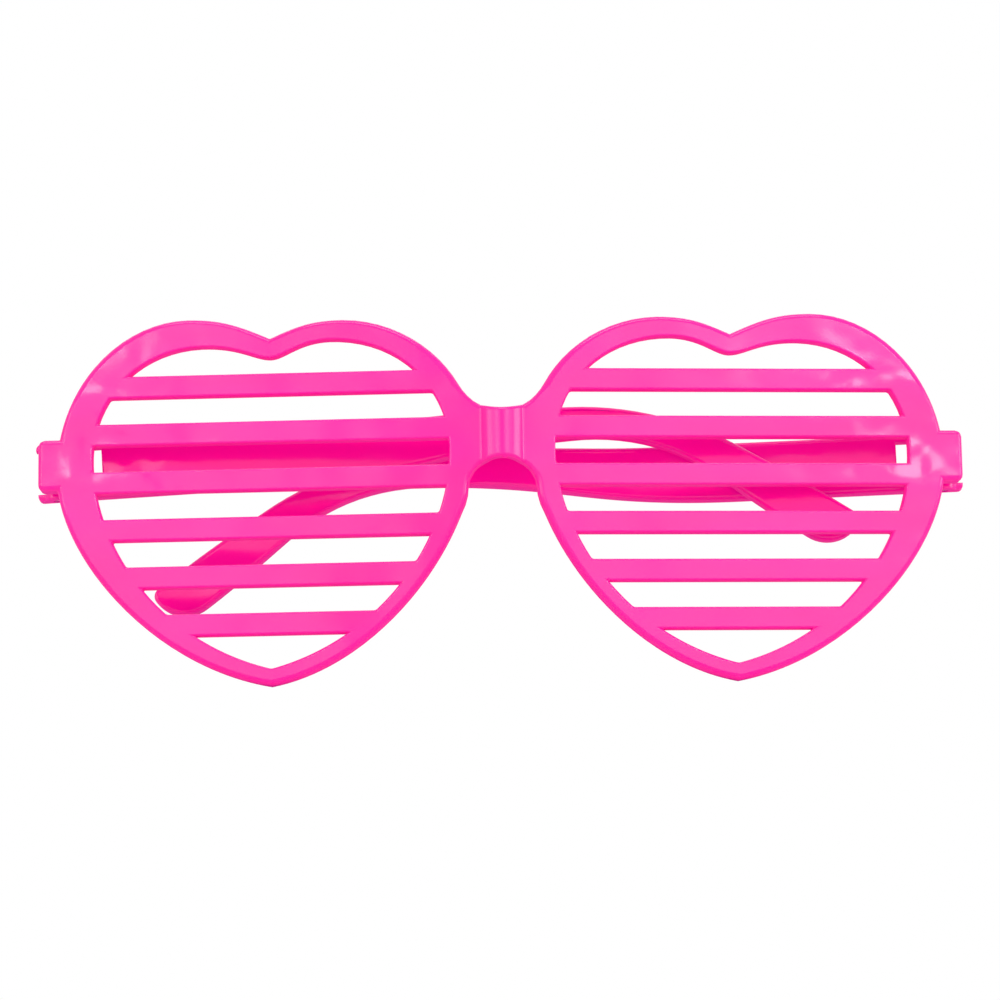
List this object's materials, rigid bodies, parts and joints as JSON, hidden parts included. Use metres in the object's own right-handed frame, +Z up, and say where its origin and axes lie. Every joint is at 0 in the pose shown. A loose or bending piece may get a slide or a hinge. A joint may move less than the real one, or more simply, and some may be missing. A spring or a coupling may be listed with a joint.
{
  "type": "heart-shaped shutter shades",
  "caption": "Novelty party glasses with heart-shaped rims, slatted openings in place of lenses, and folding temples on pin hinges.",
  "frame": {"origin": "crest of the nose arch, in the plane of the bridge creases", "axes": "as worn: +X to the wearer's left, +Y back towards the wearer, +Z up"},
  "size_m": [0.1572, 0.0228, 0.0624],
  "materials": {
    "pink_plastic": "glossy injection-moulded neon pink plastic",
    "pin_steel": "plain drawn steel wire"
  },
  "bodies": {
    "front": {"front_frame": "pink_plastic"},
    "right_temple": {"right_temple": "pink_plastic", "right_hinge_pin": "pin_steel"},
    "left_temple": {"left_temple": "pink_plastic", "left_hinge_pin": "pin_steel"}
  },
  "joints": [
    {"name": "right_temple_fold", "type": "hinge", "parent": "front", "child": "right_temple", "pos_m": [-0.07515, 0.01167, 0.00055], "axis": [-0.055, 0, 0.9985], "range_deg": [0, 93.8]},
    {"name": "left_temple_fold", "type": "hinge", "parent": "front", "child": "left_temple", "pos_m": [0.07515, 0.01167, 0.00055], "axis": [0.0218, 0, -0.9998], "range_deg": [0, 89.7]}
  ]
}
